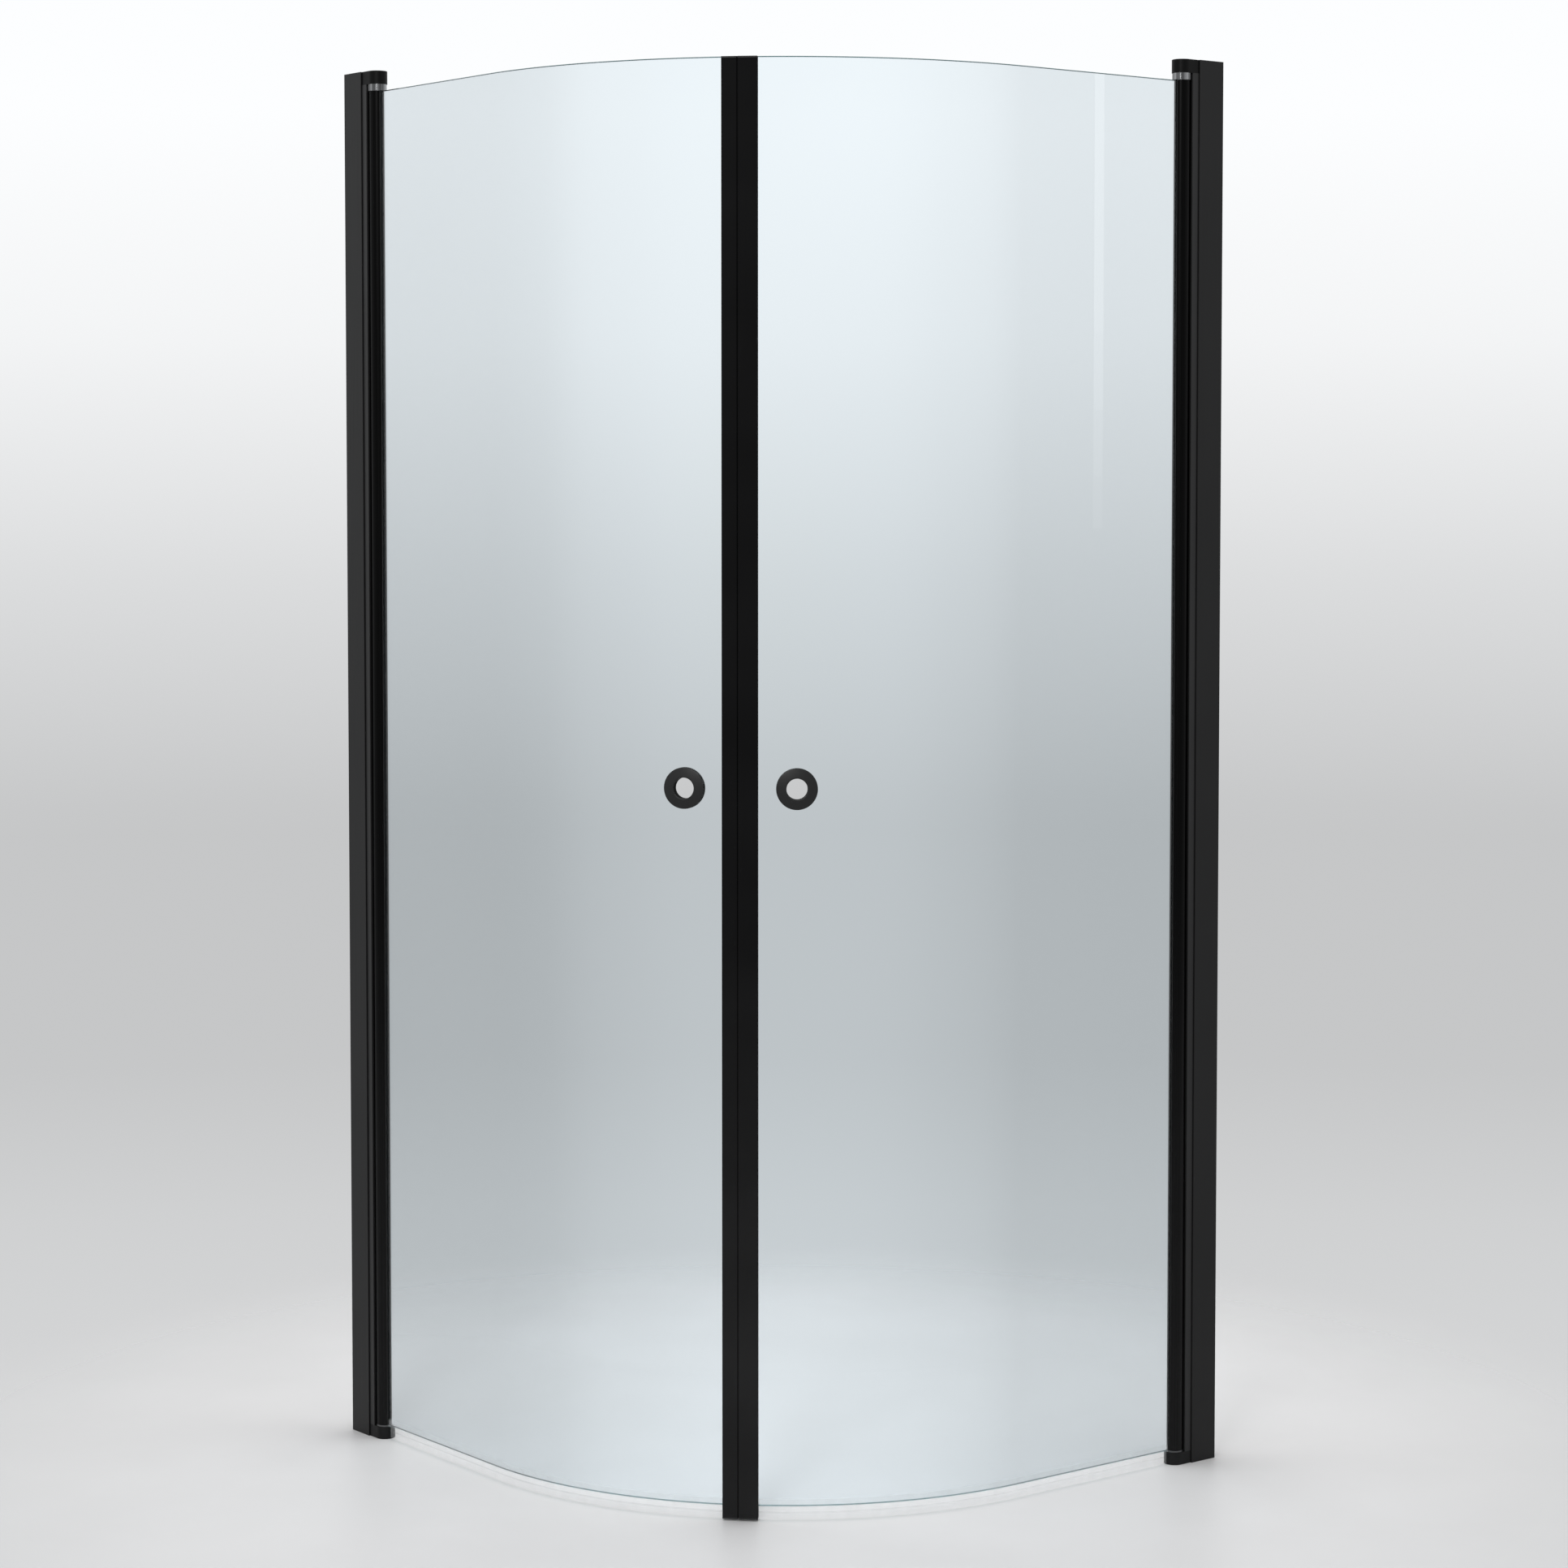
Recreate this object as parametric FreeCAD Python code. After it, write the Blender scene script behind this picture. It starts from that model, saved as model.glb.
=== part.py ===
import FreeCAD, Part
import math
import os
from collections import namedtuple

# Quadrant corner shower enclosure: two curved glass doors, each hung on a round hinge
# profile between brackets on its own wall post, closing on magnets near the diagonal.
# Frame: the origin is the room corner on the floor, +X runs along the right wall,
# -Y along the left wall and +Z up.  Sizes are in millimetres.

# Overall sizes
SIDE = 900.0
HEIGHT = 2000.0
ENTRY_RADIUS = 520.0

# Glass
GLASS_THICKNESS = 6.0

# Wall channel, screwed to the wall
POST_WIDTH = 32.0
CHANNEL_DEPTH = 46.0
CHANNEL_WALL = 1.5
CHANNEL_EDGE_RADIUS = 0.7
WALL_HOLE_RADIUS = 3.25
WALL_HOLE_END = 100.0
WALL_HOLE_COUNT = 4

# Cap that closes the channel behind the bracket
CAP_PLATE = 2.5
CAP_LEG = 12.0
CAP_LEG_WALL = 1.5
CAP_CLEARANCE = 0.1

# Pivot profile, a box extrusion that slides in the channel
SLIDE_CLEARANCE = 0.3
PIVOT_REAR = 14.0
PIVOT_WALL = 2.0
PIVOT_EDGE_RADIUS = 0.8
AXIS_FROM_WALL = 66.0
LAND_SETBACK = 8.0
CRADLE_CLEARANCE = 1.0
RUNNING_GAP = 0.3
PORT_INSET = 3.2
PORT_WALL = 1.6

# Wiper seal in the cradle of the pivot profile
WIPER_WIDTH = 3.0
WIPER_GROOVE = 1.5
WIPER_CLEARANCE = 0.05

# Screws
BRACKET_SCREW_RADIUS = 1.9
BRACKET_SCREW_GRIP = 16.0
SIDE_SCREW_RADIUS = 1.8
SIDE_SCREW_LENGTH = 9.0
SIDE_SCREW_INSET = 12.0
SIDE_SCREW_END = 150.0
SIDE_SCREW_COUNT = 3
SIDE_HEAD_RADIUS = 3.6
SIDE_HEAD_HEIGHT = 2.2
SIDE_HEAD_ROUNDING = 1.1
BRACKET_HEAD_RADIUS = 3.4
SCREW_CLEARANCE = 0.3
THREAD_CLEARANCE = 0.05

# Hinge brackets, pins, collar and washer
BOTTOM_BRACKET_HEIGHT = 18.0
TOP_BRACKET_HEIGHT = 19.0
BRACKET_EDGE_RADIUS = 0.8
PIN_RADIUS = 3.0
PIN_IN_BRACKET = 13.0
PIN_IN_BUSH = 22.0
PIN_SEAT_CLEARANCE = 0.02
COLLAR_HEIGHT = 10.0
COLLAR_LIP = 1.0
COLLAR_EDGE_RADIUS = 0.7
WASHER_HEIGHT = 2.0
END_PLAY = 0.3

# Hinge profile, the round rod that carries the glass
ROD_INSET = 1.7
BUSH_RADIUS = 5.0
BUSH_LENGTH = 25.0
BUSH_SEAT_CLEARANCE = 0.02
BUSH_PIN_CLEARANCE = 0.05
SLOT_WEB = 1.2

# Glazing gaskets in the hinge and closing profiles
GASKET_WALL = 1.0
GASKET_CLEARANCE = 0.05

# Closing profiles, magnets and their caps
SEAM_OFFSET = 2.7
SEAM_GAP = 0.6
LEFT_STRIP_WIDTH = 21.0
RIGHT_STRIP_WIDTH = 26.5
LEFT_STRIP_WALL = 2.4
RIGHT_STRIP_WALL = 3.2
STRIP_WEB = 2.0
STRIP_SEAM_RADIUS = 1.4
STRIP_EDGE_RADIUS = 0.7
STRIP_FLOOR_GAP = 2.5
STRIP_CAP = 2.0
MAGNET_DEPTH = 7.0
MAGNET_WIDTH = 8.0
MAGNET_CLEARANCE = 0.1

# Bottom seal, a clear clip with a fin
SEAL_WALL = 1.2
SEAL_LEG = 10.0
SEAL_FIN = 1.6
SEAL_FLOOR_GAP = 1.5
SEAL_CLEARANCE = 0.05
SEAL_END_CLEARANCE = 1.8
SEAL_STRIP_CLEARANCE = 0.4

# Ring handles, one disc each side of the glass on a threaded sleeve
HANDLE_HEIGHT = 995.0
HANDLE_FROM_DIAGONAL = 76.5
HANDLE_RADIUS = 28.0
HANDLE_HOLE_RADIUS = 14.25
HANDLE_DISC = 3.0
HANDLE_EDGE_RADIUS = 1.2
SLEEVE_WALL = 2.25
SLEEVE_SETBACK = 0.4
HANDLE_BUSH_WALL = 2.0
HANDLE_GASKET_MIN = 0.5
HANDLE_GASKET_INSET = 0.8
HANDLE_CLEARANCE = 0.05


def bow(surface_radius, reach):
    """How far a round surface falls back over a reach to the side."""
    return surface_radius - math.sqrt(surface_radius ** 2 - reach ** 2)


# Sizes that follow from those above
GLASS_HALF = GLASS_THICKNESS / 2
OUTER_SURFACE = ENTRY_RADIUS + GLASS_HALF
INNER_SURFACE = ENTRY_RADIUS - GLASS_HALF
POST_HALF = POST_WIDTH / 2
GLASS_LINE = SIDE - POST_HALF
ARC_CENTRE = GLASS_LINE - ENTRY_RADIUS
SIDE_SCREW_FROM_WALL = CHANNEL_DEPTH - SIDE_SCREW_INSET
CHANNEL_HALF = POST_HALF - CHANNEL_WALL
PIVOT_HALF = CHANNEL_HALF - SLIDE_CLEARANCE
ROD_RADIUS = PIVOT_HALF - ROD_INSET
COLLAR_RADIUS = ROD_RADIUS + COLLAR_LIP
CRADLE_RADIUS = ROD_RADIUS + CRADLE_CLEARANCE
CRADLE_BACK = AXIS_FROM_WALL - CRADLE_RADIUS
HOLLOW_REAR = PIVOT_REAR + PIVOT_WALL
HOLLOW_FRONT = CRADLE_BACK - WIPER_GROOVE - PIVOT_WALL
HOLLOW_HALF = PIVOT_HALF - PIVOT_WALL
PORT_FROM_WALL = HOLLOW_REAR + PORT_INSET
PORT_OFFSET = HOLLOW_HALF - PORT_INSET
PORT_RADIUS = BRACKET_SCREW_RADIUS + THREAD_CLEARANCE
PIVOT_BOTTOM = BOTTOM_BRACKET_HEIGHT
PIVOT_TOP = HEIGHT - TOP_BRACKET_HEIGHT
DOOR_BOTTOM = PIVOT_BOTTOM + WASHER_HEIGHT + END_PLAY
DOOR_TOP = PIVOT_TOP - COLLAR_HEIGHT - END_PLAY
SLOT_HALF = GLASS_HALF + GASKET_WALL + 2 * GASKET_CLEARANCE
SLOT_START = AXIS_FROM_WALL + BUSH_RADIUS + SLOT_WEB
GLASS_START = SLOT_START + GASKET_WALL + 2 * GASKET_CLEARANCE
STRIP_FACE = -SEAM_GAP / 2
POCKET_BACK = STRIP_FACE - MAGNET_DEPTH
STRIP_SLOT_END = POCKET_BACK - STRIP_WEB
GLASS_END = STRIP_SLOT_END - GASKET_WALL - 2 * GASKET_CLEARANCE
SLEEVE_RADIUS = HANDLE_HOLE_RADIUS + SLEEVE_WALL
HANDLE_BUSH_BORE = SLEEVE_RADIUS + HANDLE_CLEARANCE
HANDLE_BUSH_RADIUS = HANDLE_BUSH_BORE + HANDLE_BUSH_WALL
GLASS_HOLE_RADIUS = HANDLE_BUSH_RADIUS + HANDLE_CLEARANCE
OUTER_SEAT = GLASS_HALF + HANDLE_GASKET_MIN
INNER_SEAT = -(GLASS_HALF + HANDLE_GASKET_MIN + bow(INNER_SURFACE, HANDLE_RADIUS))

# One leaf of the enclosure: its closing edge as an angle from its own wall, and its strip
Leaf = namedtuple("Leaf", "edge_angle strip_width strip_half")
SEAM_ANGLE = SEAM_OFFSET / ENTRY_RADIUS
LEAVES = {
    "left": Leaf(math.pi / 4 - SEAM_ANGLE, LEFT_STRIP_WIDTH, SLOT_HALF + LEFT_STRIP_WALL),
    "right": Leaf(math.pi / 4 + SEAM_ANGLE, RIGHT_STRIP_WIDTH, SLOT_HALF + RIGHT_STRIP_WALL),
}
UP = FreeCAD.Vector(0, 0, 1)
ALONG_WALL = FreeCAD.Vector(1, 0, 0)
TOWARDS_ROOM = FreeCAD.Vector(0, -1, 0)
DIAGONAL_NORMAL = FreeCAD.Vector(1, 1, 0)
CUT_MARGIN = 1.0


def at(from_wall, outward, height=0.0):
    """Point of the left side: distance from its wall, and from the glass line towards the room."""
    return FreeCAD.Vector(from_wall, -(GLASS_LINE + outward), height)


def on_arc(angle, outward, height=0.0):
    """Point of the left side by its angle round the arc and its distance off the middle of the glass."""
    radius = ENTRY_RADIUS + outward
    x = ARC_CENTRE + radius * math.sin(angle)
    y = -ARC_CENTRE - radius * math.cos(angle)
    return FreeCAD.Vector(x, y, height)


def along(leaf, run, outward):
    """Point near the closing edge: run is the arc length past the seam, negative into the leaf."""
    return on_arc(leaf.edge_angle + run / ENTRY_RADIUS, outward)


def line(start, end):
    return Part.LineSegment(start, end).toShape()


def face(edges):
    return Part.Face(Part.Wire(edges))


def rounded(corners):
    """Flat face through (point, radius) corners, each rounded by its radius."""
    turns = []
    for index, (point, radius) in enumerate(corners):
        if radius == 0:
            turns.append((point, None, point))
            continue
        back = (corners[index - 1][0] - point).normalize()
        ahead = (corners[(index + 1) % len(corners)][0] - point).normalize()
        half = back.getAngle(ahead) / 2
        reach = radius / math.tan(half)
        centre = point + (back + ahead).normalize() * (radius / math.sin(half))
        middle = centre + (point - centre).normalize() * radius
        turns.append((point + back * reach, middle, point + ahead * reach))
    edges = []
    for index, (start, middle, stop) in enumerate(turns):
        if middle is not None:
            edges.append(Part.Arc(start, middle, stop).toShape())
        edges.append(line(stop, turns[(index + 1) % len(turns)][0]))
    return face(edges)


def prism(flat, bottom, top):
    """Solid from a flat face, standing between two heights."""
    solid = flat.extrude(UP * (top - bottom))
    solid.translate(UP * bottom)
    return solid


def block(rear, front, inner, outer, bottom, top):
    """Box of the left side between distances from the wall, offsets from the glass line and heights."""
    corners = [at(rear, inner), at(front, inner), at(front, outer), at(rear, outer)]
    return prism(rounded([(corner, 0) for corner in corners]), bottom, top)


def rod(radius, bottom, top, from_wall=AXIS_FROM_WALL, outward=0.0):
    return Part.makeCylinder(radius, top - bottom, at(from_wall, outward, bottom), UP)


def tube(radius, bore, bottom, top):
    return rod(radius, bottom, top).cut(rod(bore, bottom, top))


def round_rim(solid, radius, height):
    """Rounds the edges of a solid that lie at one height."""
    near = radius / 10
    level = [edge for edge in solid.Edges if edge.BoundBox.ZLength < near]
    return solid.makeFillet(radius, [edge for edge in level if abs(edge.BoundBox.ZMin - height) < near])


def sector(leaf, inner, outer, start, end):
    """Curved band near the closing edge, between two offsets and two runs."""
    middle = (start + end) / 2
    edges = [
        Part.Arc(along(leaf, start, inner), along(leaf, middle, inner), along(leaf, end, inner)).toShape(),
        line(along(leaf, end, inner), along(leaf, end, outer)),
        Part.Arc(along(leaf, end, outer), along(leaf, middle, outer), along(leaf, start, outer)).toShape(),
        line(along(leaf, start, outer), along(leaf, start, inner)),
    ]
    return face(edges)


def leaf_band(inner, outer, start, end_angle):
    """Band that follows the glass: straight from the post, then round the arc to an angle."""
    half = end_angle / 2
    edges = [
        line(at(start, inner), on_arc(0, inner)),
        Part.Arc(on_arc(0, inner), on_arc(half, inner), on_arc(end_angle, inner)).toShape(),
        line(on_arc(end_angle, inner), on_arc(end_angle, outer)),
        Part.Arc(on_arc(end_angle, outer), on_arc(half, outer), on_arc(0, outer)).toShape(),
        line(on_arc(0, outer), at(start, outer)),
        line(at(start, outer), at(start, inner)),
    ]
    return face(edges)


def spaced(first, last, count):
    """Evenly spaced positions, both ends included."""
    step = (last - first) / (count - 1)
    return [first + step * index for index in range(count)]


def turned(corners, base, axis, radial):
    """Solid turned about an axis from (radius, distance along the axis, rounding) corners."""
    section = rounded([(base + radial * radius + axis * run, edge) for radius, run, edge in corners])
    return section.revolve(base, axis, 360)


def side_screw_heights():
    return spaced(SIDE_SCREW_END, HEIGHT - SIDE_SCREW_END, SIDE_SCREW_COUNT)


def side_bore(radius, depth_from, length, height):
    """Cylinder from the cabin side of the post towards the glass line."""
    return Part.makeCylinder(radius, length, at(SIDE_SCREW_FROM_WALL, -depth_from, height), TOWARDS_ROOM)


def wall_profile():
    edge = CHANNEL_EDGE_RADIUS
    outer = rounded([
        (at(0, -POST_HALF), 0),
        (at(CHANNEL_DEPTH, -POST_HALF), edge),
        (at(CHANNEL_DEPTH, POST_HALF), edge),
        (at(0, POST_HALF), 0),
    ])
    channel = prism(outer, 0, HEIGHT)
    inside = block(CHANNEL_WALL, CHANNEL_DEPTH + CUT_MARGIN, -CHANNEL_HALF, CHANNEL_HALF, 0, HEIGHT)
    channel = channel.cut(inside)
    for height in spaced(WALL_HOLE_END, HEIGHT - WALL_HOLE_END, WALL_HOLE_COUNT):
        channel = channel.cut(Part.makeCylinder(WALL_HOLE_RADIUS, CHANNEL_WALL, at(0, 0, height), ALONG_WALL))
    for height in side_screw_heights():
        hole = side_bore(SIDE_SCREW_RADIUS + SCREW_CLEARANCE, POST_HALF, CHANNEL_WALL, height)
        channel = channel.cut(hole)
    return channel


def wall_profile_cap():
    rear = CHANNEL_WALL + CAP_CLEARANCE
    front = PIVOT_REAR - CAP_CLEARANCE
    half = CHANNEL_HALF - CAP_CLEARANCE
    cap = block(rear, front, -half, half, HEIGHT - CAP_PLATE, HEIGHT)
    leg_bottom = HEIGHT - CAP_PLATE - CAP_LEG
    for inner in (-half, half - CAP_LEG_WALL):
        cap = cap.fuse(block(rear, front, inner, inner + CAP_LEG_WALL, leg_bottom, HEIGHT - CAP_PLATE))
    return cap.removeSplitter()


def pivot_profile():
    front = AXIS_FROM_WALL - LAND_SETBACK
    edge = PIVOT_EDGE_RADIUS
    outer = rounded([
        (at(PIVOT_REAR, -PIVOT_HALF), edge),
        (at(front, -PIVOT_HALF), edge),
        (at(front, PIVOT_HALF), edge),
        (at(PIVOT_REAR, PIVOT_HALF), edge),
    ])
    profile = prism(outer, PIVOT_BOTTOM, PIVOT_TOP)
    hollow = block(HOLLOW_REAR, HOLLOW_FRONT, -HOLLOW_HALF, HOLLOW_HALF, PIVOT_BOTTOM, PIVOT_TOP)
    reach = PORT_INSET + PORT_RADIUS + PORT_WALL
    for inner in (-HOLLOW_HALF, HOLLOW_HALF - reach):
        port = block(HOLLOW_REAR, HOLLOW_REAR + reach, inner, inner + reach, PIVOT_BOTTOM, PIVOT_TOP)
        hollow = hollow.cut(port)
    profile = profile.cut(hollow)
    for offset in (-PORT_OFFSET, PORT_OFFSET):
        profile = profile.cut(rod(PORT_RADIUS, PIVOT_BOTTOM, PIVOT_TOP, PORT_FROM_WALL, offset))
    profile = profile.cut(rod(CRADLE_RADIUS, PIVOT_BOTTOM, PIVOT_TOP))
    half = WIPER_WIDTH / 2
    groove = block(CRADLE_BACK - WIPER_GROOVE, AXIS_FROM_WALL, -half, half, PIVOT_BOTTOM, PIVOT_TOP)
    profile = profile.cut(groove)
    for height in side_screw_heights():
        pilot = side_bore(SIDE_SCREW_RADIUS + THREAD_CLEARANCE, PIVOT_HALF, PIVOT_WALL, height)
        profile = profile.cut(pilot)
    return profile.removeSplitter()


def pivot_seal():
    half = WIPER_WIDTH / 2 - WIPER_CLEARANCE
    rear = CRADLE_BACK - WIPER_GROOVE + WIPER_CLEARANCE
    front = AXIS_FROM_WALL - ROD_RADIUS - RUNNING_GAP
    return block(rear, front, -half, half, DOOR_BOTTOM, DOOR_TOP)


def profile_screws():
    """Pan head screws from the cabin side through the channel into the pivot profile."""
    section = [
        (0, -SIDE_HEAD_HEIGHT, 0),
        (SIDE_HEAD_RADIUS, -SIDE_HEAD_HEIGHT, SIDE_HEAD_ROUNDING),
        (SIDE_HEAD_RADIUS, 0, 0),
        (SIDE_SCREW_RADIUS, 0, 0),
        (SIDE_SCREW_RADIUS, SIDE_SCREW_LENGTH, 0),
        (0, SIDE_SCREW_LENGTH, 0),
    ]
    seats = [at(SIDE_SCREW_FROM_WALL, -POST_HALF, height) for height in side_screw_heights()]
    return Part.makeCompound([turned(section, seat, TOWARDS_ROOM, UP) for seat in seats])


def countersunk(head, direction, length, clearance=0.0, above=0.0):
    """Countersunk screw, or the hole for it where a clearance and a height above the head are given."""
    sink = BRACKET_HEAD_RADIUS - BRACKET_SCREW_RADIUS
    rim = BRACKET_HEAD_RADIUS + clearance
    shank = BRACKET_SCREW_RADIUS + clearance
    corners = [(0, -above, 0), (rim, -above, 0), (shank, sink, 0), (shank, length, 0), (0, length, 0)]
    if above:
        corners.insert(2, (rim, 0, 0))
    return turned(corners, head, direction, ALONG_WALL)


def bracket_screw_seats():
    """Head centres and driving directions of the screws of both brackets."""
    seats = []
    for offset in (-PORT_OFFSET, PORT_OFFSET):
        seats.append((at(PORT_FROM_WALL, offset, HEIGHT), UP * -1, TOP_BRACKET_HEIGHT))
        seats.append((at(PORT_FROM_WALL, offset, 0), UP, BOTTOM_BRACKET_HEIGHT))
    return seats


def bracket_screws():
    screws = []
    for head, way, height in bracket_screw_seats():
        screws.append(countersunk(head, way, height + BRACKET_SCREW_GRIP))
    return Part.makeCompound(screws)


def bracket(bottom, top, rim, pin_bottom, pin_top):
    """Block with the section of the pivot profile and a round nose about the hinge axis."""
    nose = at(AXIS_FROM_WALL + PIVOT_HALF, 0)
    outline = face([
        line(at(PIVOT_REAR, -PIVOT_HALF), at(AXIS_FROM_WALL, -PIVOT_HALF)),
        Part.Arc(at(AXIS_FROM_WALL, -PIVOT_HALF), nose, at(AXIS_FROM_WALL, PIVOT_HALF)).toShape(),
        line(at(AXIS_FROM_WALL, PIVOT_HALF), at(PIVOT_REAR, PIVOT_HALF)),
        line(at(PIVOT_REAR, PIVOT_HALF), at(PIVOT_REAR, -PIVOT_HALF)),
    ])
    body = round_rim(prism(outline, bottom, top), BRACKET_EDGE_RADIUS, rim)
    body = body.cut(rod(PIN_RADIUS + PIN_SEAT_CLEARANCE, pin_bottom, pin_top))
    for head, way, height in bracket_screw_seats():
        body = body.cut(countersunk(head, way, height + CUT_MARGIN, SCREW_CLEARANCE, CUT_MARGIN))
    return body


def top_bracket():
    return bracket(PIVOT_TOP, HEIGHT, HEIGHT, PIVOT_TOP, PIVOT_TOP + PIN_IN_BRACKET)


def bottom_bracket():
    return bracket(0, PIVOT_BOTTOM, 0, PIVOT_BOTTOM - PIN_IN_BRACKET, PIVOT_BOTTOM)


def top_pin():
    return rod(PIN_RADIUS, DOOR_TOP - PIN_IN_BUSH, PIVOT_TOP + PIN_IN_BRACKET)


def bottom_pin():
    return rod(PIN_RADIUS, PIVOT_BOTTOM - PIN_IN_BRACKET, DOOR_BOTTOM + PIN_IN_BUSH)


def top_collar():
    collar = rod(COLLAR_RADIUS, PIVOT_TOP - COLLAR_HEIGHT, PIVOT_TOP)
    collar = round_rim(collar, COLLAR_EDGE_RADIUS, PIVOT_TOP - COLLAR_HEIGHT)
    return collar.cut(rod(PIN_RADIUS + PIN_SEAT_CLEARANCE, PIVOT_TOP - COLLAR_HEIGHT, PIVOT_TOP))


def bottom_washer():
    return tube(ROD_RADIUS, PIN_RADIUS + PIN_SEAT_CLEARANCE, PIVOT_BOTTOM, PIVOT_BOTTOM + WASHER_HEIGHT)


def hinge_profile():
    profile = tube(ROD_RADIUS, BUSH_RADIUS, DOOR_BOTTOM, DOOR_TOP)
    mouth = AXIS_FROM_WALL + ROD_RADIUS + CUT_MARGIN
    return profile.cut(block(SLOT_START, mouth, -SLOT_HALF, SLOT_HALF, DOOR_BOTTOM, DOOR_TOP))


def bush(bottom, top):
    return tube(BUSH_RADIUS - BUSH_SEAT_CLEARANCE, PIN_RADIUS + BUSH_PIN_CLEARANCE, bottom, top)


def top_bush():
    return bush(DOOR_TOP - BUSH_LENGTH, DOOR_TOP)


def bottom_bush():
    return bush(DOOR_BOTTOM, DOOR_BOTTOM + BUSH_LENGTH)


def hinge_gasket():
    """U section in the slot of the rod, cut to the rod's own round surface."""
    outer = SLOT_HALF - GASKET_CLEARANCE
    inner = GLASS_HALF + GASKET_CLEARANCE
    rear = SLOT_START + GASKET_CLEARANCE
    mouth = AXIS_FROM_WALL + ROD_RADIUS + CUT_MARGIN
    body = block(rear, mouth, -outer, outer, DOOR_BOTTOM, DOOR_TOP)
    body = body.cut(block(rear + GASKET_WALL, mouth, -inner, inner, DOOR_BOTTOM, DOOR_TOP))
    return body.common(rod(ROD_RADIUS, DOOR_BOTTOM, DOOR_TOP))


def handle_frame():
    """Middle of the handle on the glass and the direction out of the glass there."""
    angle = math.pi / 4 - HANDLE_FROM_DIAGONAL / ENTRY_RADIUS
    return on_arc(angle, 0, HANDLE_HEIGHT), FreeCAD.Vector(math.sin(angle), -math.cos(angle), 0)


def handle_barrel(radius, start, end):
    """Cylinder on the handle's axis between two distances off the middle of the glass."""
    middle, out = handle_frame()
    return Part.makeCylinder(radius, end - start, middle + out * start, out)


def handle_turned(corners):
    middle, out = handle_frame()
    return turned(corners, middle, out, UP)


def glass(leaf):
    end_angle = leaf.edge_angle + GLASS_END / ENTRY_RADIUS
    pane = prism(leaf_band(-GLASS_HALF, GLASS_HALF, GLASS_START, end_angle), DOOR_BOTTOM, DOOR_TOP)
    return pane.cut(handle_barrel(GLASS_HOLE_RADIUS, -GLASS_THICKNESS, GLASS_THICKNESS))


def handle_outer_ring():
    front = OUTER_SEAT + HANDLE_DISC
    sleeve_end = INNER_SEAT - HANDLE_DISC + SLEEVE_SETBACK
    return handle_turned([
        (HANDLE_HOLE_RADIUS, front, HANDLE_EDGE_RADIUS),
        (HANDLE_RADIUS, front, HANDLE_EDGE_RADIUS),
        (HANDLE_RADIUS, OUTER_SEAT, 0),
        (SLEEVE_RADIUS, OUTER_SEAT, 0),
        (SLEEVE_RADIUS, sleeve_end, 0),
        (HANDLE_HOLE_RADIUS, sleeve_end, 0),
    ])


def handle_inner_ring():
    front = INNER_SEAT - HANDLE_DISC
    return handle_turned([
        (HANDLE_BUSH_BORE, INNER_SEAT, 0),
        (HANDLE_RADIUS, INNER_SEAT, 0),
        (HANDLE_RADIUS, front, HANDLE_EDGE_RADIUS),
        (HANDLE_BUSH_BORE, front, 0),
    ])


def handle_gaskets():
    """Rubber rings that fill the space between the flat discs and the curved glass."""
    radius = HANDLE_RADIUS - HANDLE_GASKET_INSET
    axis = FreeCAD.Vector(ARC_CENTRE, -ARC_CENTRE, DOOR_BOTTOM)
    height = DOOR_TOP - DOOR_BOTTOM
    beyond_glass = Part.makeCylinder(OUTER_SURFACE + HANDLE_CLEARANCE, height, axis, UP)
    within_glass = Part.makeCylinder(INNER_SURFACE - HANDLE_CLEARANCE, height, axis, UP)
    outer = handle_barrel(radius, 0, OUTER_SEAT).cut(handle_barrel(HANDLE_BUSH_BORE, 0, OUTER_SEAT))
    inner = handle_barrel(radius, INNER_SEAT, 0).cut(handle_barrel(HANDLE_BUSH_BORE, INNER_SEAT, 0))
    return Part.makeCompound([outer.cut(beyond_glass), inner.common(within_glass)])


def handle_bush():
    """Plastic sleeve in the hole of the glass, short enough for the gasket over the round outside."""
    end = GLASS_HALF - bow(OUTER_SURFACE, HANDLE_BUSH_RADIUS)
    sleeve = handle_barrel(HANDLE_BUSH_RADIUS, -GLASS_HALF, end)
    return sleeve.cut(handle_barrel(HANDLE_BUSH_BORE, -GLASS_HALF, end))


def strip_outline(leaf):
    back = STRIP_FACE - leaf.strip_width
    half = leaf.strip_half
    return rounded([
        (along(leaf, back, -half), STRIP_EDGE_RADIUS),
        (along(leaf, STRIP_FACE, -half), STRIP_SEAM_RADIUS),
        (along(leaf, STRIP_FACE, half), STRIP_SEAM_RADIUS),
        (along(leaf, back, half), STRIP_EDGE_RADIUS),
    ])


def strip_slot(leaf, bottom, top):
    back = STRIP_FACE - leaf.strip_width - CUT_MARGIN
    return prism(sector(leaf, -SLOT_HALF, SLOT_HALF, back, STRIP_SLOT_END), bottom, top)


def closing_profile(leaf):
    bottom = STRIP_FLOOR_GAP + STRIP_CAP
    top = DOOR_TOP - STRIP_CAP
    half = MAGNET_WIDTH / 2
    pocket = prism(sector(leaf, -half, half, POCKET_BACK, CUT_MARGIN), bottom, top)
    return prism(strip_outline(leaf), bottom, top).cut(strip_slot(leaf, bottom, top)).cut(pocket)


def closing_caps(leaf):
    """End caps of the closing profile; the top one leaves room for the glass."""
    top_start = DOOR_TOP - STRIP_CAP
    top = prism(strip_outline(leaf), top_start, DOOR_TOP).cut(strip_slot(leaf, top_start, DOOR_TOP))
    bottom = prism(strip_outline(leaf), STRIP_FLOOR_GAP, STRIP_FLOOR_GAP + STRIP_CAP)
    return Part.makeCompound([top, bottom])


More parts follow.
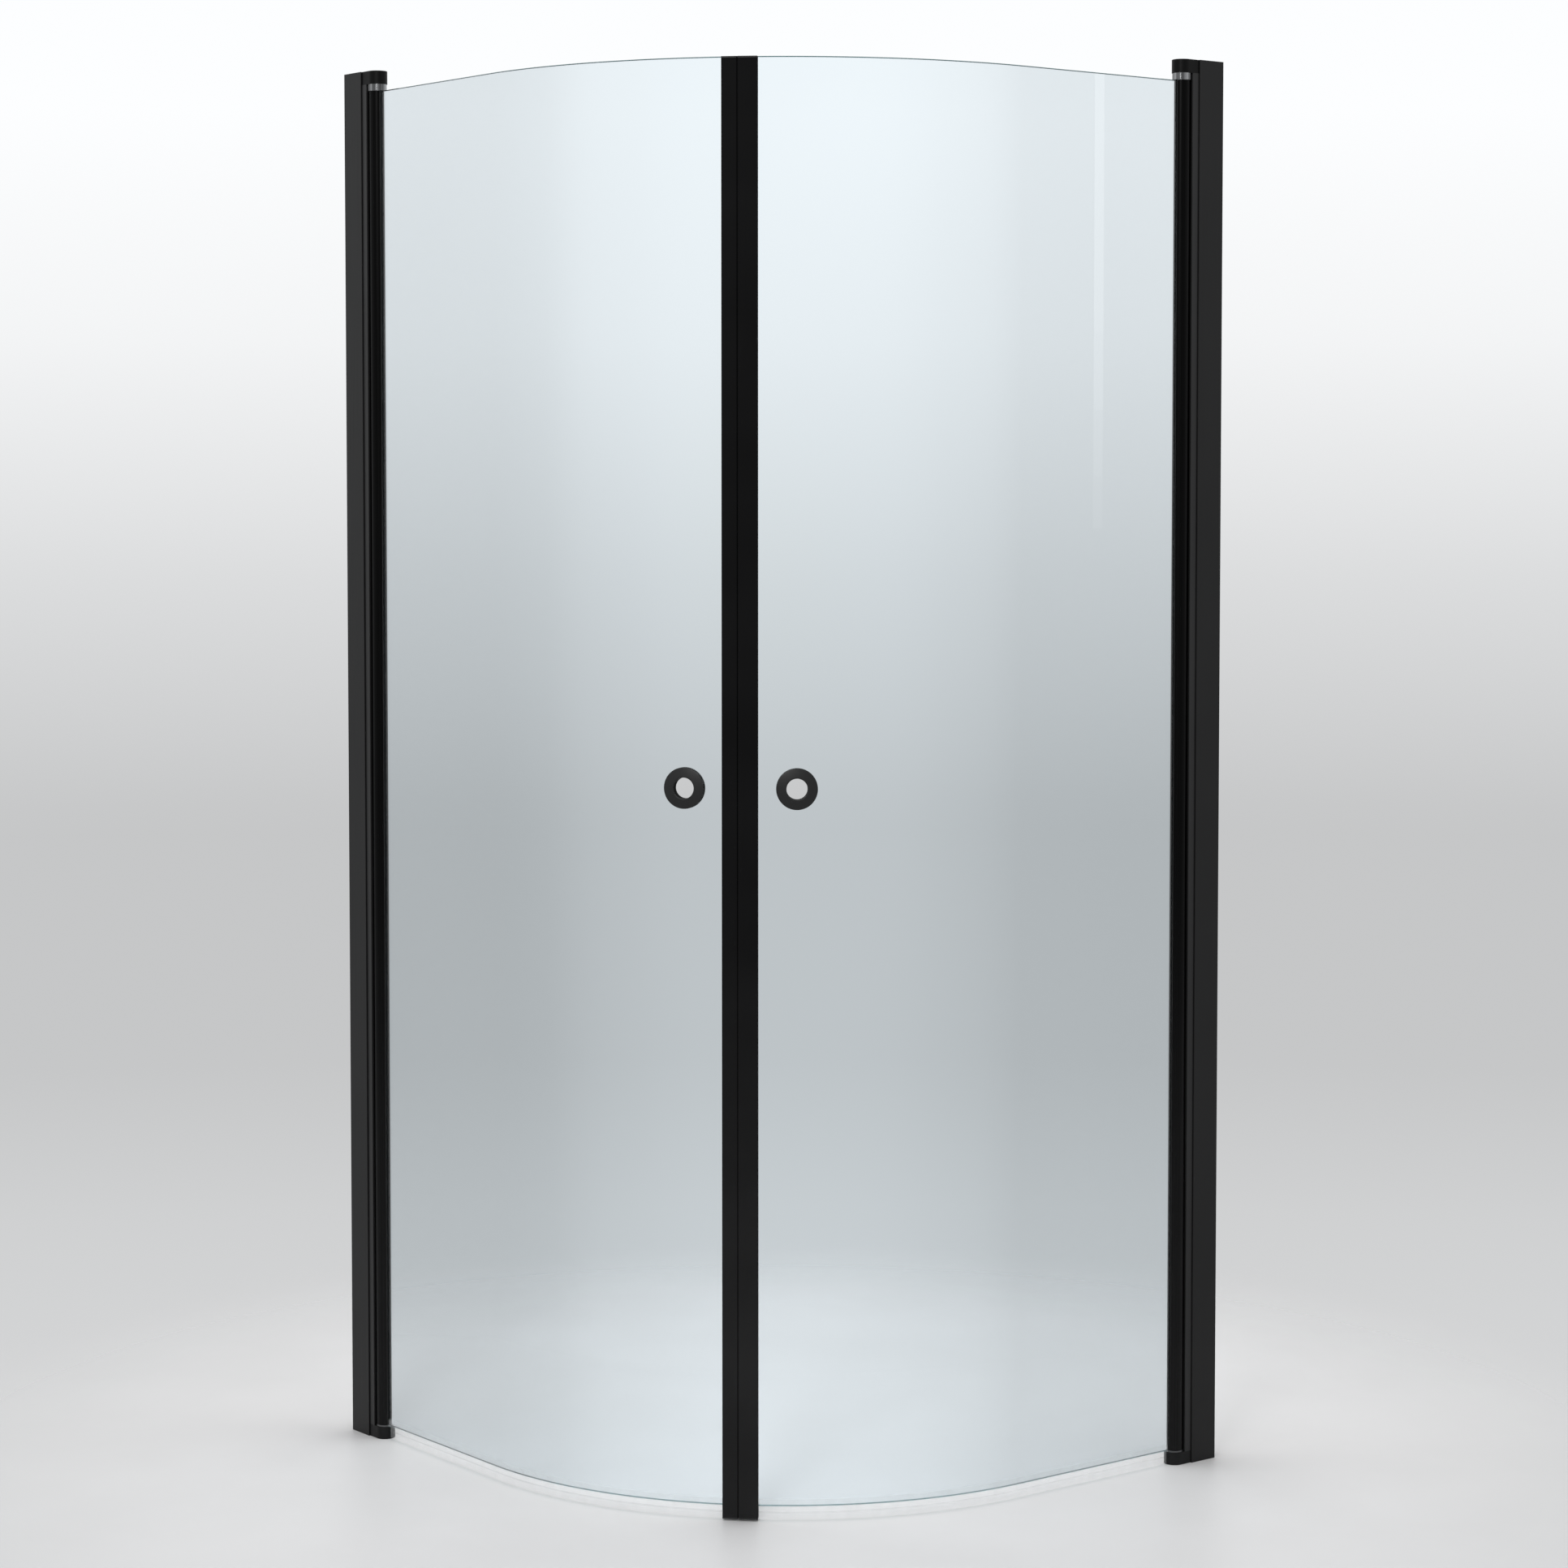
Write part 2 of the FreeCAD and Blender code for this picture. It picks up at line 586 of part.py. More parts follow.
def closing_gasket(leaf):
    outer = SLOT_HALF - GASKET_CLEARANCE
    inner = GLASS_HALF + GASKET_CLEARANCE
    end = STRIP_SLOT_END - GASKET_CLEARANCE
    back = STRIP_FACE - leaf.strip_width
    body = prism(sector(leaf, -outer, outer, back, end), DOOR_BOTTOM, DOOR_TOP)
    room = prism(sector(leaf, -inner, inner, back - CUT_MARGIN, end - GASKET_WALL), DOOR_BOTTOM, DOOR_TOP)
    return body.cut(room)


def magnet_strip(leaf):
    half = MAGNET_WIDTH / 2 - MAGNET_CLEARANCE
    flat = sector(leaf, -half, half, POCKET_BACK + MAGNET_CLEARANCE, STRIP_FACE)
    return prism(flat, STRIP_FLOOR_GAP + STRIP_CAP, DOOR_TOP - STRIP_CAP)


def bottom_seal(leaf):
    start = AXIS_FROM_WALL + PIVOT_HALF + SEAL_END_CLEARANCE
    back = STRIP_FACE - leaf.strip_width - SEAL_STRIP_CLEARANCE
    end_angle = leaf.edge_angle + back / ENTRY_RADIUS
    inner = GLASS_HALF + SEAL_CLEARANCE
    outer = inner + SEAL_WALL
    under = DOOR_BOTTOM - SEAL_CLEARANCE
    web = under - SEAL_WALL
    seal = prism(leaf_band(-outer, outer, start, end_angle), web, DOOR_BOTTOM + SEAL_LEG)
    seal = seal.cut(prism(leaf_band(-inner, inner, start, end_angle), under, DOOR_BOTTOM + SEAL_LEG))
    fin = prism(leaf_band(-SEAL_FIN / 2, SEAL_FIN / 2, start, end_angle), SEAL_FLOOR_GAP, web)
    return seal.fuse(fin).removeSplitter()


# Pieces that are the same on both sides, and pieces that follow their own leaf
SIDE_PIECES = (
    wall_profile,
    wall_profile_cap,
    pivot_profile,
    pivot_seal,
    profile_screws,
    top_bracket,
    bottom_bracket,
    bracket_screws,
    top_pin,
    bottom_pin,
    top_collar,
    bottom_washer,
    hinge_profile,
    top_bush,
    bottom_bush,
    hinge_gasket,
    handle_outer_ring,
    handle_inner_ring,
    handle_gaskets,
    handle_bush,
)
LEAF_PIECES = (
    glass,
    closing_profile,
    closing_caps,
    closing_gasket,
    magnet_strip,
    bottom_seal,
)


def save(side, name, shape):
    """Writes a piece of the left side, or its mirror image across the diagonal for the right side."""
    if side == "right":
        shape = shape.mirror(FreeCAD.Vector(0, 0, 0), DIAGONAL_NORMAL)
    shape.exportStep(f"parts/{side}_{name}.step")


os.makedirs("parts", exist_ok=True)
for side, leaf in LEAVES.items():
    for piece in SIDE_PIECES:
        save(side, piece.__name__, piece())
    for piece in LEAF_PIECES:
        save(side, piece.__name__, piece(leaf))
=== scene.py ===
import math

import bmesh
import bpy
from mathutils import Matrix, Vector


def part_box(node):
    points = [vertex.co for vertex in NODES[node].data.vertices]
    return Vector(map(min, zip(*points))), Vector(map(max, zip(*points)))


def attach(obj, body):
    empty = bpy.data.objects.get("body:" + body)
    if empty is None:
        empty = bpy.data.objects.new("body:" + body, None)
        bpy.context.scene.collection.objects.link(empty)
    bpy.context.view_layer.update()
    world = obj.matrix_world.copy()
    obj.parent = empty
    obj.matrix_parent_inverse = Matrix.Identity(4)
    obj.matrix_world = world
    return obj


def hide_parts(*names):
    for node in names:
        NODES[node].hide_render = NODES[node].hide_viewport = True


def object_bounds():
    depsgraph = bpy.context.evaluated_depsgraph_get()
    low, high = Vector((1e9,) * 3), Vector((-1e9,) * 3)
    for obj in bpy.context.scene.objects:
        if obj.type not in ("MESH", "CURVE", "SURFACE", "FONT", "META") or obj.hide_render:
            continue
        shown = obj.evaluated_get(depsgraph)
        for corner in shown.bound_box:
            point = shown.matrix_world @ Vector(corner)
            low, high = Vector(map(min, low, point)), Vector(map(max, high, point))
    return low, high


# Quadrant corner shower enclosure: bent clear glass doors on black wall posts.
# All lengths are metres in the frame of the solids: the origin is the room corner on the
# floor, +X runs along the right wall, -Y along the left wall and +Z up.
# Shapes are worked out for the left side; the right side is their mirror image across the diagonal.

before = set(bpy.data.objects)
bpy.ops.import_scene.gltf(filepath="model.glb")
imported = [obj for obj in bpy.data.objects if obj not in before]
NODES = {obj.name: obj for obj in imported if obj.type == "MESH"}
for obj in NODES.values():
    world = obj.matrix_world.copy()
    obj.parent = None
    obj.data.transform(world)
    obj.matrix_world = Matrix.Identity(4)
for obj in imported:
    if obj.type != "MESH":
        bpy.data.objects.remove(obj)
CAD_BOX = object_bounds()
SIDES = ("left", "right")

# Camera, fitted to the straight lines of the picture
CAMERA_PLACE = (4.5961, -3.6673, 1.3983)
CAMERA_TURN = math.radians(52.083)
CAMERA_DIP = math.radians(3.064)
CAMERA_LENS = 83.243
CAMERA_SENSOR = 36.0
CAMERA_SHIFT = -0.065

# Glass
ENTRY_RADIUS = 0.520
GLASS_THICKNESS = 0.006
GLASS_HOLE_RADIUS = 0.0186
GLASS_ARRIS = 0.0011
ARC_STEP = 0.006
STRAIGHT_STEPS = 8
HOLE_PATCH = 0.030
HOLE_STEPS = 14
HOLE_RINGS = 3

# Bottom seal
SEAL_WALL = 0.0012
SEAL_WEB = 0.0012
SEAL_LEG = 0.0100
SEAL_ROUND = 0.0005
FIN_ROOT = 0.0011
FIN_TIP = 0.0006
DRIP_ROOT_DROP = 0.0060
DRIP_DROP = 0.0035
DRIP_THICKNESS = 0.0010

# Magnets in the closing strips, whose soft sleeves bulge until they meet at the seam
SEAM_OFFSET = 0.0027
SEAM_GAP = 0.0006
MAGNET_DEPTH = 0.0069
MAGNET_WIDTH = 0.0078
MAGNET_CROWN = 0.00029
MAGNET_ROUND = 0.0005
CROWN_STEPS = 10

# Rings of the handles, whose faces are domed
RING_DOME = 0.135
RING_RIM_ROUND = 0.0005
RING_BORE_ROUND = 0.0012
RING_STEPS = 96
RING_FACE_STEPS = 10
RING_EDGE_STEPS = 6

# Screws; the sizes of the cross recess are shares of the head's radius, apart from its depth
PAN_HEIGHT = 0.0022
PAN_ROUND = 0.0011
PAN_SHANK = 0.0018
SUNK_LAND = 0.0002
SUNK_SHANK = 0.0019
SCREW_TIP = 0.0005
RECESS_LENGTH = 0.60
RECESS_WIDTH = 0.17
RECESS_DEPTH = 0.0012
RECESS_TAPER = 0.75
ROUND_STEPS = 5
WELD_REACH = 1e-6
TINY = 1e-9

# Noise in the materials: the part of its range that counts, scales per metre, and changes as shares
NOISE_LOW = 0.3
NOISE_HIGH = 0.7
BLOTCH_SCALE = 7.0
MOTTLE_SCALE = 40.0
CLOUD_SCALE = 60.0
ROLLER_SCALE = 2.5
TONE_CHANGE = 0.15

# Heights between which painted light from the floor grows in, lightening colours towards the floor
FLOOR_BOUNCE_START = 0.95
FLOOR_BOUNCE_FULL = 0.15

# Share of light left in the glass, by how far the sight line slants from square on
GLASS_DEPTH = (
    (0.0, 1.0), (0.03, 1.0), (0.06, 0.98), (0.10, 0.92), (0.15, 0.885), (0.20, 0.845), (0.27, 0.755),
    (0.40, 0.735), (1.0, 0.70),
)
GLASS_IOR = 1.5
GLASS_TINT_CHANGE = 0.008
VINYL_TINT_CHANGE = 0.04
VINYL_SHINE = 0.4

# Floor, solid round the object and then fading into the backdrop
STAGE_CENTRE = (0.45, -0.45)
FLOOR_RADIUS = 6.0
FLOOR_STEPS = 96
FLOOR_SOLID = 0.72
FLOOR_FADE = 1.50
FLOOR_DARK = (0.75, 0.747, 0.75)
FLOOR_LIGHT = (0.79, 0.787, 0.792)
FLOOR_GRAIN = 3.0
FLOOR_ROUGH = 0.45
FLOOR_SHINE = 0.3

# Backdrop: tones by the height of the sight line, from straight down to straight up
BACKDROP = (
    (-1.00, 0.67), (-0.30, 0.67), (-0.22, 0.66), (-0.195, 0.64), (-0.155, 0.575), (-0.09, 0.575),
    (-0.025, 0.725), (0.042, 0.92), (0.10, 1.0), (1.00, 1.0),
)
BACKDROP_TINT = (0.98, 0.99, 1.0)
PLAIN_LIGHT = 0.55

# Even grey side of the backdrop, across from the side that the camera sees:
# its direction, the cosines at which it starts and is full, and its tone
GREY_TURN = math.radians(-38)
GREY_EDGE = 0.30
GREY_FULL = 0.88
GREY_TONE = 0.55

# Softboxes: place, target, size, power, and whether gloss mirrors them
SOFTBOXES = {
    "overhead_softbox": ((*STAGE_CENTRE, 3.6), (*STAGE_CENTRE, 0.0), (1.6, 1.6), 50.0, False),
    "front_softbox": ((3.7, -4.6, 3.4), (0.5, -0.5, 1.0), (1.2, 1.2), 64.0, True),
}

# Narrow strip that the right pane mirrors, fading out downwards: heights and glow
STREAK_PLACE = (2.354, 1.134)
STREAK_TARGET = (0.887, -0.225)
STREAK_WIDTH = 0.018
STREAK = ((1.70, 2.30, 1.2), (1.55, 1.70, 0.95), (1.42, 1.55, 0.65), (1.32, 1.42, 0.35))


# Mesh helpers

def turned_side(x, y, z, side):
    """A point of the left side, or its mirror image on the right side."""
    return Vector((x, y, z)) if side == "left" else Vector((-y, -x, z))


def left_box(node, side):
    """Box of a node, turned to the left side."""
    low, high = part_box(f"{side}_{node}")
    if side == "left":
        return low, high
    return Vector((-high.y, -high.x, low.z)), Vector((-low.y, -low.x, high.z))


def new_piece(name, bm, materials, sharp=32):
    """Object of a bmesh, shaded smooth except along edges sharper than an angle in degrees."""
    bmesh.ops.recalc_face_normals(bm, faces=bm.faces)
    mesh = bpy.data.meshes.new(name)
    bm.to_mesh(mesh)
    bm.free()
    for material in materials:
        mesh.materials.append(material)
    mesh.shade_smooth()
    mesh.set_sharp_from_angle(angle=math.radians(sharp))
    piece = bpy.data.objects.new(name, mesh)
    bpy.context.scene.collection.objects.link(piece)
    return piece


def stand_for(piece, body, node):
    """Fixes a piece to a body, in place of the node of the same form."""
    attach(piece, body)
    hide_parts(node)


def bridge(bm, first, second, material=0, closed=True):
    """Quads between two rows of vertices."""
    count = len(first)
    for i in range(count if closed else count - 1):
        j = (i + 1) % count
        face = bm.faces.new((first[i], first[j], second[j], second[i]))
        face.material_index = material


# Materials

def new_material(name):
    material = bpy.data.materials.new(name)
    material.use_nodes = True
    tree = material.node_tree
    return material, tree, tree.nodes["Principled BSDF"]


def noise(tree, scale, detail=3.0, stretch=(1, 1, 1)):
    """Noise over the object's own coordinates in metres, stretched by a scale."""
    place = tree.nodes.new("ShaderNodeTexCoord")
    mapping = tree.nodes.new("ShaderNodeMapping")
    mapping.inputs["Scale"].default_value = stretch
    texture = tree.nodes.new("ShaderNodeTexNoise")
    texture.inputs["Scale"].default_value = scale
    texture.inputs["Detail"].default_value = detail
    tree.links.new(place.outputs["Object"], mapping.inputs["Vector"])
    tree.links.new(mapping.outputs["Vector"], texture.inputs["Vector"])
    return texture.outputs["Fac"]


def fill_ramp(ramp, stops):
    """Sets a colour ramp to stops of a position and a colour."""
    while len(ramp.elements) < len(stops):
        ramp.elements.new(0.5)
    for element, (position, colour) in zip(ramp.elements, stops):
        element.position = position
        element.color = (*colour, 1)


def smooth_share(tree, value, start, full):
    """Share that grows smoothly from 0 to 1 between two values."""
    share = tree.nodes.new("ShaderNodeMapRange")
    share.interpolation_type = "SMOOTHSTEP"
    share.inputs["From Min"].default_value = start
    share.inputs["From Max"].default_value = full
    tree.links.new(value, share.inputs["Value"])
    return share.outputs["Result"]


def spread(tree, factor, low, high):
    """Value between two limits, driven by a factor around one half."""
    area = tree.nodes.new("ShaderNodeMapRange")
    area.inputs["From Min"].default_value = NOISE_LOW
    area.inputs["From Max"].default_value = NOISE_HIGH
    area.inputs["To Min"].default_value = low
    area.inputs["To Max"].default_value = high
    tree.links.new(factor, area.inputs["Value"])
    return area.outputs["Result"]


def tones(tree, factor, dark, light):
    """Colour between two tones, driven by a factor around one half."""
    blend = tree.nodes.new("ShaderNodeValToRGB")
    fill_ramp(blend.color_ramp, ((NOISE_LOW, dark), (NOISE_HIGH, light)))
    tree.links.new(factor, blend.inputs["Fac"])
    return blend.outputs["Color"]


def relief(tree, main, height, depth):
    """Fine relief of a depth in metres."""
    bump = tree.nodes.new("ShaderNodeBump")
    bump.inputs["Distance"].default_value = depth
    tree.links.new(height, bump.inputs["Height"])
    tree.links.new(bump.outputs["Normal"], main.inputs["Normal"])


def shades(tone, change):
    """A tone made darker and lighter by a share."""
    return [tuple(channel * factor for channel in tone) for factor in (1 - change, 1 + change)]


def paint_floor_bounce(tree, bare, floor_bounce_tone):
    """Blends a colour into a lighter one down towards the floor: painted light bounced up from the floor.
    """
    place = tree.nodes.new("ShaderNodeTexCoord")
    parts = tree.nodes.new("ShaderNodeSeparateXYZ")
    tree.links.new(place.outputs["Object"], parts.inputs["Vector"])
    share = smooth_share(tree, parts.outputs["Z"], FLOOR_BOUNCE_START, FLOOR_BOUNCE_FULL)
    mix = tree.nodes.new("ShaderNodeMix")
    mix.data_type = "RGBA"
    tree.links.new(share, mix.inputs["Factor"])
    tree.links.new(bare, mix.inputs["A"])
    tree.links.new(floor_bounce_tone, mix.inputs["B"])
    return mix.outputs["Result"]


def coated(name, tone, rough, shine, grain=900.0, stretch=(1, 1, 1), depth=0.00002, floor_bounce_tone=None):
    """Satin coating: fine grain along an extrusion, slightly uneven gloss and, where a second tone is
    given, painted light from the floor that lightens it towards the floor.
    """
    material, tree, main = new_material(name)
    fine = noise(tree, grain, 4.0, stretch)
    broad = noise(tree, BLOTCH_SCALE, 2.0)
    colour = tones(tree, broad, *shades(tone, TONE_CHANGE))
    if floor_bounce_tone:
        colour = paint_floor_bounce(tree, colour, tones(tree, broad, *shades(floor_bounce_tone, TONE_CHANGE)))
    tree.links.new(colour, main.inputs["Base Color"])
    tree.links.new(spread(tree, fine, rough - 0.05, rough + 0.05), main.inputs["Roughness"])
    main.inputs["Specular IOR Level"].default_value = shine
    relief(tree, main, fine, depth)
    return material


def bare_metal(name, tone, rough, grain=700.0, depth=0.000004, change=0.06, stretch=(1, 1, 1)):
    """Metal with marks in its tone and gloss: fine ones at a small change, while a large change drawn out
    along the height paints reflection bands.
    """
    material, tree, main = new_material(name)
    fine = noise(tree, grain, stretch=stretch)
    main.inputs["Metallic"].default_value = 1.0
    tree.links.new(tones(tree, fine, *shades(tone, change)), main.inputs["Base Color"])
    tree.links.new(spread(tree, fine, rough * 0.7, rough * 1.3), main.inputs["Roughness"])
    relief(tree, main, fine, depth)
    return material


def moulded(name, tone, rough, grain=1500.0, depth=0.00002):
    """Plastic or rubber with a fine moulded grain."""
    material, tree, main = new_material(name)
    fine = noise(tree, grain, 2.0)
    broad = noise(tree, MOTTLE_SCALE, 2.0)
    tree.links.new(tones(tree, broad, *shades(tone, TONE_CHANGE)), main.inputs["Base Color"])
    tree.links.new(spread(tree, fine, rough - 0.06, rough + 0.06), main.inputs["Roughness"])
    relief(tree, main, fine, depth)
    return material


def part_clear(tree, main, share, tint=(1, 1, 1)):
    """Makes a share of a shader transparent."""
    clear = tree.nodes.new("ShaderNodeBsdfTransparent")
    clear.inputs["Color"].default_value = (*tint, 1)
    mix = tree.nodes.new("ShaderNodeMixShader")
    tree.links.new(share, mix.inputs["Fac"])
    tree.links.new(main.outputs["BSDF"], mix.inputs[1])
    tree.links.new(clear.outputs["BSDF"], mix.inputs[2])
    tree.links.new(mix.outputs["Shader"], tree.nodes["Material Output"].inputs["Surface"])


def let_lamps_through(tree, main, tint):
    """Lets the light of lamps through a clear shader, so that it throws no black shadow."""
    path = tree.nodes.new("ShaderNodeLightPath")
    part_clear(tree, main, path.outputs["Is Shadow Ray"], tint)


def clear_glass(name, tint, shadow, rough=0.0, wave=0.0002):
    """Tempered glass: a cool tint that deepens at a slant, and the faint wave that its rollers leave."""
    material, tree, main = new_material(name)
    broad = noise(tree, ROLLER_SCALE, 1.0, (1, 1, 0.6))
    slant = tree.nodes.new("ShaderNodeLayerWeight")
    depth = tree.nodes.new("ShaderNodeValToRGB")
    depth.color_ramp.interpolation = "B_SPLINE"
    fill_ramp(depth.color_ramp, [(position, (share, share, share)) for position, share in GLASS_DEPTH])
    tree.links.new(slant.outputs["Facing"], depth.inputs["Fac"])
    mix = tree.nodes.new("ShaderNodeMix")
    mix.data_type = "RGBA"
    mix.blend_type = "MULTIPLY"
    mix.inputs["Factor"].default_value = 1.0
    tree.links.new(tones(tree, broad, *shades(tint, GLASS_TINT_CHANGE)), mix.inputs["A"])
    tree.links.new(depth.outputs["Color"], mix.inputs["B"])
    tree.links.new(mix.outputs["Result"], main.inputs["Base Color"])
    main.inputs["Transmission Weight"].default_value = 1.0
    main.inputs["Roughness"].default_value = rough
    main.inputs["IOR"].default_value = GLASS_IOR
    relief(tree, main, broad, wave)
    let_lamps_through(tree, main, shadow)
    return material


def clear_vinyl(name, tone, rough=0.3, cover=(0.07, 0.11)):
    """Flexible clear vinyl, a little milky, as a thin film that hides a share of what is behind it."""
    material, tree, main = new_material(name)
    cloud = noise(tree, CLOUD_SCALE, 3.0, (1, 1, 0.3))
    tree.links.new(tones(tree, cloud, *shades(tone, VINYL_TINT_CHANGE)), main.inputs["Base Color"])
    tree.links.new(spread(tree, cloud, rough - 0.05, rough + 0.08), main.inputs["Roughness"])
    tree.links.new(spread(tree, cloud, *cover), main.inputs["Alpha"])
    main.inputs["Specular IOR Level"].default_value = VINYL_SHINE
    return material


# Grain drawn out along an upright extrusion
ALONG_HEIGHT = (1, 1, 0.004)
CHANNEL_BLACK = coated("channel_black", (0.0075, 0.0075, 0.0078), 0.42, 0.2, stretch=ALONG_HEIGHT)
PIVOT_BLACK = coated("pivot_black", (0.011, 0.011, 0.0114), 0.40, 0.3, stretch=ALONG_HEIGHT)
# Hinge rods: the same black coat as the profiles, darkened much further as painted shade; their second tone
# is painted light from the floor, lightening them towards it.
ROD_BLACK_PAINTED_SHADE = coated(
    "rod_black", (0.0008, 0.0008, 0.00085), 0.28, 0.07, stretch=ALONG_HEIGHT, floor_bounce_tone=(0.009, 0.009, 0.0092))
# Strip and casting: their second tone is painted light from the floor, lightening them towards it.
STRIP_BLACK = coated(
    "strip_black", (0.0072, 0.0072, 0.0075), 0.6, 0.03, stretch=ALONG_HEIGHT, floor_bounce_tone=(0.02, 0.02, 0.0204))
CASTING_BLACK = coated(
    "casting_black", (0.001, 0.001, 0.00104), 0.45, 0.13, depth=0.00004, floor_bounce_tone=(0.0095, 0.0095, 0.0098))
HANDLE_BLACK = coated("handle_black", (0.0065, 0.0067, 0.0071), 0.39, 0.4, grain=1400.0)
BORE_BLACK = coated("bore_black", (0.005, 0.005, 0.0052), 0.75, 0.05, grain=1400.0)
CAP_PLASTIC = moulded("cap_plastic", (0.008, 0.008, 0.0083), 0.5)
RUBBER = moulded("black_rubber", (0.008, 0.008, 0.0082), 0.7, 900.0, 0.00005)
# Magnet sleeves: their own black, darkened beyond the other rubbers as painted shade in the seam between
# the strips.
MAGNET_SLEEVE_SEAM_SHADE = moulded("magnet_sleeve", (0.0015, 0.0015, 0.0016), 0.6)
BEARING_PLASTIC = moulded("bearing_plastic", (0.10, 0.102, 0.105), 0.42)
STEEL = bare_metal("stainless_steel", (0.57, 0.57, 0.56), 0.28)
# Chrome of the collars: a darkened tone that swings strongly in bands drawn out along the height, painted
# reflections of dark and light surroundings.
CHROME_PAINTED_BANDS = bare_metal(
    "chrome", (0.24, 0.243, 0.248), 0.16, grain=150.0, depth=0.000001, change=0.75, stretch=ALONG_HEIGHT)
VINYL = clear_vinyl("clear_vinyl", (0.90, 0.92, 0.93))
GLASS = clear_glass("clear_glass", (0.905, 0.967, 0.998), (0.985, 0.995, 1.0))
GLASS_RIM = clear_glass("ground_glass_edge", (0.03, 0.105, 0.12), (0.6, 0.75, 0.76), 0.15, 0.0)

NODE_MATERIALS = {
    "wall_profile": CHANNEL_BLACK,
    "pivot_profile": PIVOT_BLACK,
    "hinge_profile": ROD_BLACK_PAINTED_SHADE,
    "closing_profile": STRIP_BLACK,
    "top_bracket": CASTING_BLACK,
    "bottom_bracket": CASTING_BLACK,
    "handle_outer_ring": HANDLE_BLACK,
    "handle_inner_ring": HANDLE_BLACK,
    "wall_profile_cap": CAP_PLASTIC,
    "closing_caps": CAP_PLASTIC,
    "pivot_seal": RUBBER,
    "hinge_gasket": RUBBER,
    "closing_gasket": RUBBER,
    "handle_gaskets": RUBBER,
    "magnet_strip": MAGNET_SLEEVE_SEAM_SHADE,
    "profile_screws": STEEL,
    "bracket_screws": STEEL,
    "top_pin": STEEL,
    "bottom_pin": STEEL,
    "top_collar": CHROME_PAINTED_BANDS,
    "bottom_washer": BEARING_PLASTIC,
    "top_bush": BEARING_PLASTIC,
    "bottom_bush": BEARING_PLASTIC,
    "handle_bush": VINYL,
    "bottom_seal": VINYL,
    "glass": GLASS,
}


def dress_nodes():
    """Gives every node its material, also those that a piece below stands for."""
    for side in SIDES:
        for name, material in NODE_MATERIALS.items():
            NODES[f"{side}_{name}"].data.materials[0] = material


# Door leaves

class Leaf:
    """Surface of one door's glass: along its middle line, across its thickness and up."""

    def __init__(self, side, node):
        """Takes the reach along the middle line from the box of a node that follows it."""
        self.side = side
        glass_low, _ = left_box("glass", side)
        self.line = -glass_low.y - GLASS_THICKNESS / 2
        self.centre = self.line - ENTRY_RADIUS
        self.low, self.high = left_box(node, side)
        self.start = self.low.x
        self.straight = self.centre - self.start
        self.half = -self.low.y - self.line
        end_angle = math.asin((self.high.x - self.centre) / (ENTRY_RADIUS + self.half))
        self.length = self.straight + ENTRY_RADIUS * end_angle

    def place(self, along, across, height):
        """Point at a length along the middle line, an offset towards the room and a height."""
        if along <= self.straight:
            return turned_side(self.start + along, -self.line - across, height, self.side)
        angle = (along - self.straight) / ENTRY_RADIUS
        radius = ENTRY_RADIUS + across
        x = self.centre + radius * math.sin(angle)
        y = -self.centre - radius * math.cos(angle)
        return turned_side(x, y, height, self.side)

    def along_of(self, node):
        """Length along the middle line at the middle of a node on the bend."""
        low, high = left_box(node, self.side)
        middle = (low + high) / 2
        angle = math.atan2(middle.x - self.centre, -middle.y - self.centre)
        return self.straight + ENTRY_RADIUS * angle

    def stations(self, low, high, step=ARC_STEP):
        """Even lengths from one to another, with few of them where the leaf is straight."""
        cuts = [low] + [self.straight] * (low < self.straight < high) + [high]
        lengths = [low]
        for begin, end in zip(cuts, cuts[1:]):
            steps = STRAIGHT_STEPS if end <= self.straight else math.ceil((end - begin) / step)
            lengths += [begin + (end - begin) * (i + 1) / steps for i in range(steps)]
        return lengths


def handle_height(side):
    """Height of the axis of a handle."""
    low, high = left_box("handle_bush", side)
    return (low.z + high.z) / 2


def swept(name, leaf, outline, materials):
    """Closed outline of offsets and heights, carried along a leaf."""
    bm = bmesh.new()
    rows = []
    for along in leaf.stations(0.0, leaf.length):
        rows.append([bm.verts.new(leaf.place(along, across, height)) for across, height in outline])
    for first, second in zip(rows, rows[1:]):
        bridge(bm, first, second)
    bm.faces.new(rows[0])
    bm.faces.new(rows[-1])
    return new_piece(name, bm, materials)


